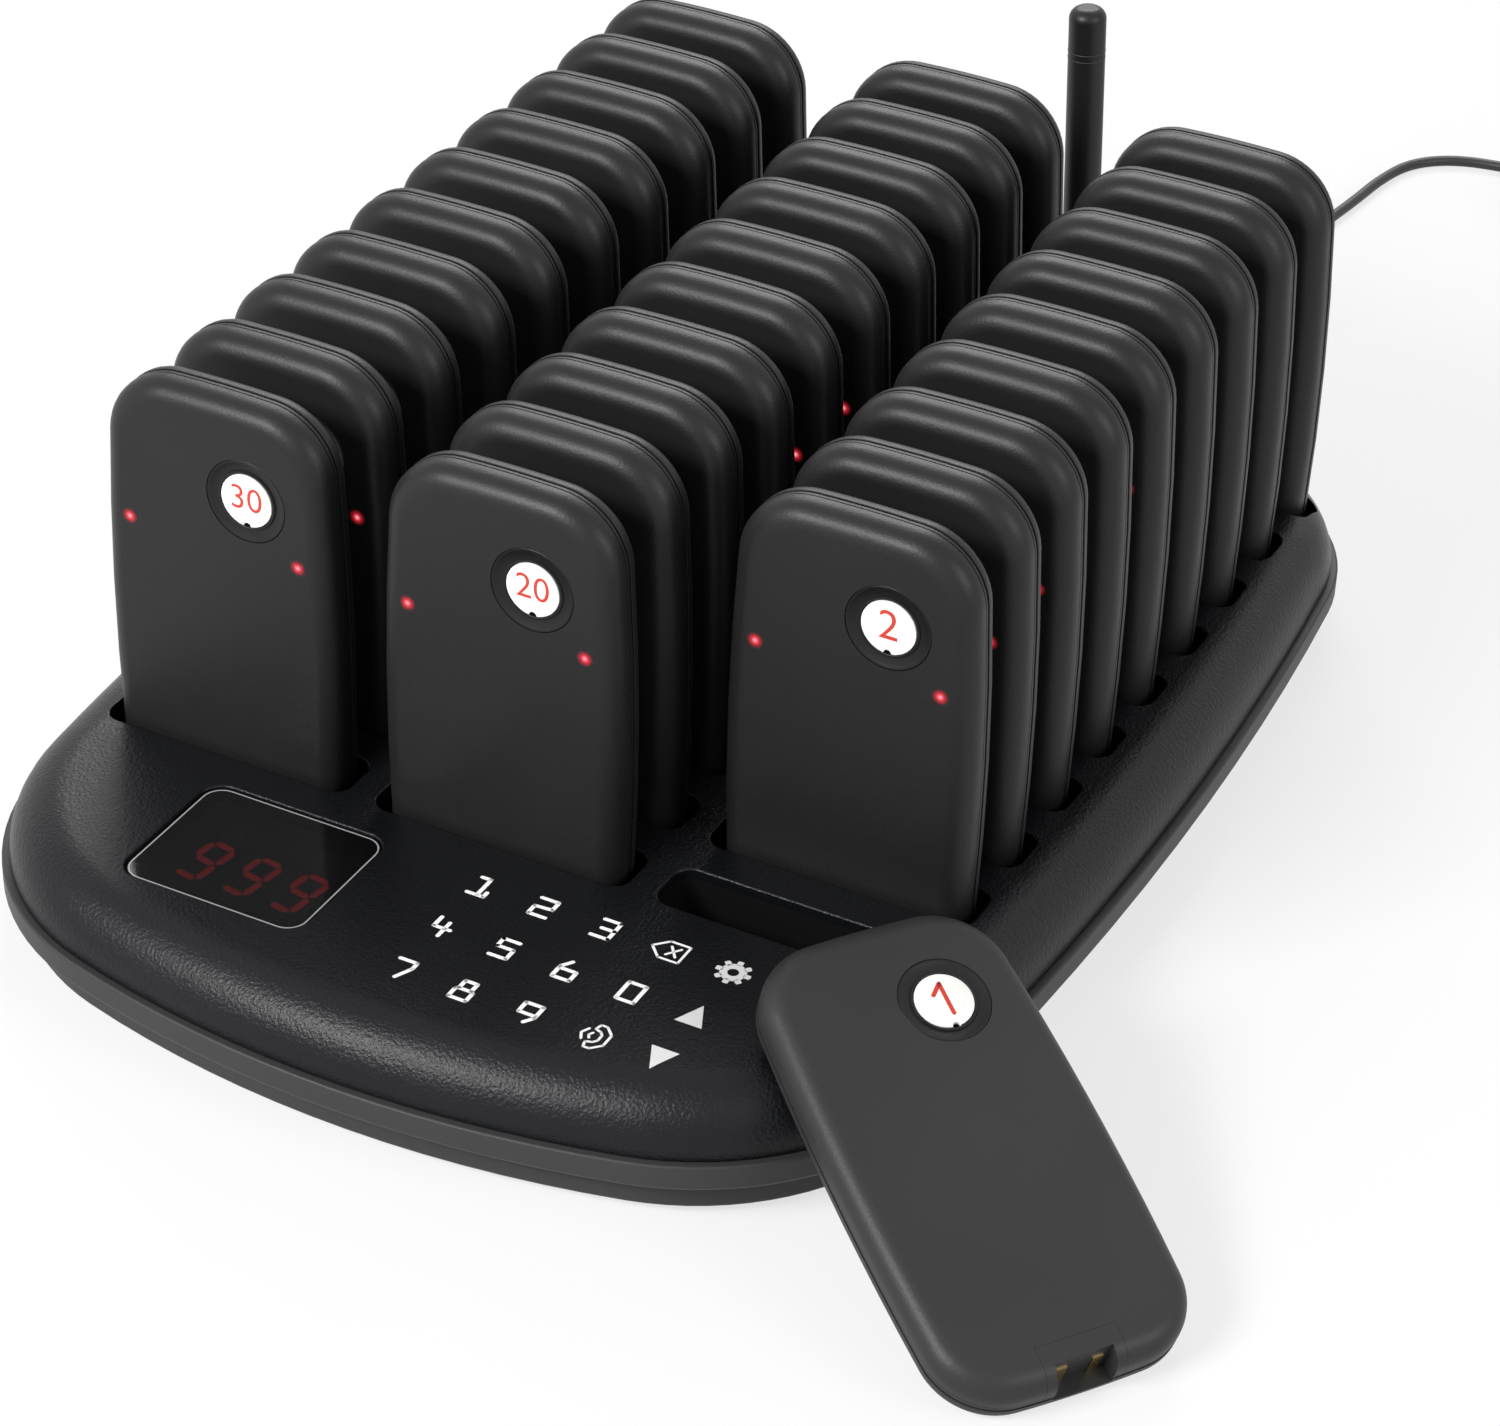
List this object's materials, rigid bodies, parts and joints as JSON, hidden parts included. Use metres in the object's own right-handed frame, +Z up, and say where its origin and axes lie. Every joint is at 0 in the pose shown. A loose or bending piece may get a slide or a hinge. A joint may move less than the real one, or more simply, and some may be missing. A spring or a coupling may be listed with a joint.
{
  "type": "guest pager system",
  "caption": "Charging dock with rows of upright wireless guest pagers, a touch keypad and display in its deck, a hinged antenna, a loose pager leaning on it and a coiled power lead.",
  "frame": {"origin": "on the table, under the middle of the dock's outline", "axes": "+X to the dock's right, +Y to its back, +Z up"},
  "size_m": [0.3164, 0.5701, 0.1184],
  "materials": {
    "cover_plastic": "black moulded plastic, semi-gloss",
    "band_plastic": "dark grey moulded plastic, satin",
    "dark_lens": "dark smoked acrylic, polished",
    "display_plastic": "black display housing with pale segments",
    "circuit_board": "green solder mask",
    "rack_plastic": "black moulded plastic, fine grain",
    "contact_brass": "gold plated, bright",
    "antenna_plastic": "black rubbery plastic, satin",
    "foot_rubber": "black rubber, matt",
    "screw_steel": "zinc plated steel",
    "lead_rubber": "black flexible sheath, satin",
    "tie_plastic": "black nylon",
    "adapter_plastic": "black moulded plastic, fine grain",
    "pager_plastic": "black moulded plastic, semi-gloss",
    "ring_plastic": "black plastic, satin",
    "disc_plastic": "white plastic with a printed number",
    "battery_foil": "foil pouch"
  },
  "bodies": {
    "dock": {"top_cover": "cover_plastic", "bottom_case": "band_plastic", "display_window": "dark_lens", "display_module": "display_plastic", "touch_board": "circuit_board", "main_board": "circuit_board", "rack_left": "rack_plastic", "rack_middle": "rack_plastic", "rack_right": "rack_plastic", "charge_boards": "circuit_board", "charge_pins": "contact_brass", "antenna_socket": "contact_brass", "rubber_feet": "foot_rubber", "case_screws": "screw_steel", "dc_jack": "rack_plastic", "dc_plug": "lead_rubber", "cable_run": "lead_rubber", "cable_coil": "lead_rubber", "cable_tie": "tie_plastic", "power_adapter": "adapter_plastic"},
    "antenna_base": {"antenna_knuckle": "antenna_plastic"},
    "antenna_rod": {"antenna_whip": "antenna_plastic"},
    "loose_pager": {"pager_01_front_shell": "pager_plastic", "pager_01_rear_shell": "pager_plastic", "pager_01_label_ring": "ring_plastic", "pager_01_number_disc": "disc_plastic", "pager_01_contact_block": "ring_plastic", "pager_01_contact_strips": "contact_brass", "pager_01_circuit_board": "circuit_board", "pager_01_battery": "battery_foil", "pager_01_motor": "screw_steel"},
    "pager_02": {"pager_02": "pager_plastic"},
    "pager_03": {"pager_03": "pager_plastic"},
    "pager_04": {"pager_04": "pager_plastic"},
    "pager_05": {"pager_05": "pager_plastic"},
    "pager_06": {"pager_06": "pager_plastic"},
    "pager_07": {"pager_07": "pager_plastic"},
    "pager_08": {"pager_08": "pager_plastic"},
    "pager_09": {"pager_09": "pager_plastic"},
    "pager_10": {"pager_10": "pager_plastic"},
    "pager_11": {"pager_11": "pager_plastic"},
    "pager_12": {"pager_12": "pager_plastic"},
    "pager_13": {"pager_13": "pager_plastic"},
    "pager_14": {"pager_14": "pager_plastic"},
    "pager_15": {"pager_15": "pager_plastic"},
    "pager_16": {"pager_16": "pager_plastic"},
    "pager_17": {"pager_17": "pager_plastic"},
    "pager_18": {"pager_18": "pager_plastic"},
    "pager_19": {"pager_19": "pager_plastic"},
    "pager_20": {"pager_20": "pager_plastic"},
    "pager_21": {"pager_21": "pager_plastic"},
    "pager_22": {"pager_22": "pager_plastic"},
    "pager_23": {"pager_23": "pager_plastic"},
    "pager_24": {"pager_24": "pager_plastic"},
    "pager_25": {"pager_25": "pager_plastic"},
    "pager_26": {"pager_26": "pager_plastic"},
    "pager_27": {"pager_27": "pager_plastic"},
    "pager_28": {"pager_28": "pager_plastic"},
    "pager_29": {"pager_29": "pager_plastic"},
    "pager_30": {"pager_30": "pager_plastic"}
  },
  "joints": [
    {"name": "antenna_swivel", "type": "hinge", "parent": "dock", "child": "antenna_base", "pos_m": [0.011, 0.1823, 0.0174], "axis": [0, 1, 0], "range_deg": [-85, 50]},
    {"name": "antenna_tilt", "type": "hinge", "parent": "antenna_base", "child": "antenna_rod", "pos_m": [0.011, 0.1823, 0.0174], "axis": [-0.999, 0, -0.0436], "range_deg": [0, 90]},
    {"name": "loose_pager_lift", "type": "slide", "parent": "dock", "child": "loose_pager", "axis": [0, 0, 1], "range_m": [0, 0.03]},
    {"name": "pager_02_lift", "type": "slide", "parent": "dock", "child": "pager_02", "axis": [0, 0, 1], "range_m": [0, 0.0175]},
    {"name": "pager_03_lift", "type": "slide", "parent": "dock", "child": "pager_03", "axis": [0, 0, 1], "range_m": [0, 0.0175]},
    {"name": "pager_04_lift", "type": "slide", "parent": "dock", "child": "pager_04", "axis": [0, 0, 1], "range_m": [0, 0.0175]},
    {"name": "pager_05_lift", "type": "slide", "parent": "dock", "child": "pager_05", "axis": [0, 0, 1], "range_m": [0, 0.0175]},
    {"name": "pager_06_lift", "type": "slide", "parent": "dock", "child": "pager_06", "axis": [0, 0, 1], "range_m": [0, 0.0175]},
    {"name": "pager_07_lift", "type": "slide", "parent": "dock", "child": "pager_07", "axis": [0, 0, 1], "range_m": [0, 0.0175]},
    {"name": "pager_08_lift", "type": "slide", "parent": "dock", "child": "pager_08", "axis": [0, 0, 1], "range_m": [0, 0.0175]},
    {"name": "pager_09_lift", "type": "slide", "parent": "dock", "child": "pager_09", "axis": [0, 0, 1], "range_m": [0, 0.0175]},
    {"name": "pager_10_lift", "type": "slide", "parent": "dock", "child": "pager_10", "axis": [0, 0, 1], "range_m": [0, 0.0175]},
    {"name": "pager_11_lift", "type": "slide", "parent": "dock", "child": "pager_11", "axis": [0, 0, 1], "range_m": [0, 0.0175]},
    {"name": "pager_12_lift", "type": "slide", "parent": "dock", "child": "pager_12", "axis": [0, 0, 1], "range_m": [0, 0.0175]},
    {"name": "pager_13_lift", "type": "slide", "parent": "dock", "child": "pager_13", "axis": [0, 0, 1], "range_m": [0, 0.0175]},
    {"name": "pager_14_lift", "type": "slide", "parent": "dock", "child": "pager_14", "axis": [0, 0, 1], "range_m": [0, 0.0175]},
    {"name": "pager_15_lift", "type": "slide", "parent": "dock", "child": "pager_15", "axis": [0, 0, 1], "range_m": [0, 0.0175]},
    {"name": "pager_16_lift", "type": "slide", "parent": "dock", "child": "pager_16", "axis": [0, 0, 1], "range_m": [0, 0.0175]},
    {"name": "pager_17_lift", "type": "slide", "parent": "dock", "child": "pager_17", "axis": [0, 0, 1], "range_m": [0, 0.0175]},
    {"name": "pager_18_lift", "type": "slide", "parent": "dock", "child": "pager_18", "axis": [0, 0, 1], "range_m": [0, 0.0175]},
    {"name": "pager_19_lift", "type": "slide", "parent": "dock", "child": "pager_19", "axis": [0, 0, 1], "range_m": [0, 0.0175]},
    {"name": "pager_20_lift", "type": "slide", "parent": "dock", "child": "pager_20", "axis": [0, 0, 1], "range_m": [0, 0.0175]},
    {"name": "pager_21_lift", "type": "slide", "parent": "dock", "child": "pager_21", "axis": [0, 0, 1], "range_m": [0, 0.0175]},
    {"name": "pager_22_lift", "type": "slide", "parent": "dock", "child": "pager_22", "axis": [0, 0, 1], "range_m": [0, 0.0175]},
    {"name": "pager_23_lift", "type": "slide", "parent": "dock", "child": "pager_23", "axis": [0, 0, 1], "range_m": [0, 0.0175]},
    {"name": "pager_24_lift", "type": "slide", "parent": "dock", "child": "pager_24", "axis": [0, 0, 1], "range_m": [0, 0.0175]},
    {"name": "pager_25_lift", "type": "slide", "parent": "dock", "child": "pager_25", "axis": [0, 0, 1], "range_m": [0, 0.0175]},
    {"name": "pager_26_lift", "type": "slide", "parent": "dock", "child": "pager_26", "axis": [0, 0, 1], "range_m": [0, 0.0175]},
    {"name": "pager_27_lift", "type": "slide", "parent": "dock", "child": "pager_27", "axis": [0, 0, 1], "range_m": [0, 0.0175]},
    {"name": "pager_28_lift", "type": "slide", "parent": "dock", "child": "pager_28", "axis": [0, 0, 1], "range_m": [0, 0.0175]},
    {"name": "pager_29_lift", "type": "slide", "parent": "dock", "child": "pager_29", "axis": [0, 0, 1], "range_m": [0, 0.0175]},
    {"name": "pager_30_lift", "type": "slide", "parent": "dock", "child": "pager_30", "axis": [0, 0, 1], "range_m": [0, 0.0175]}
  ]
}
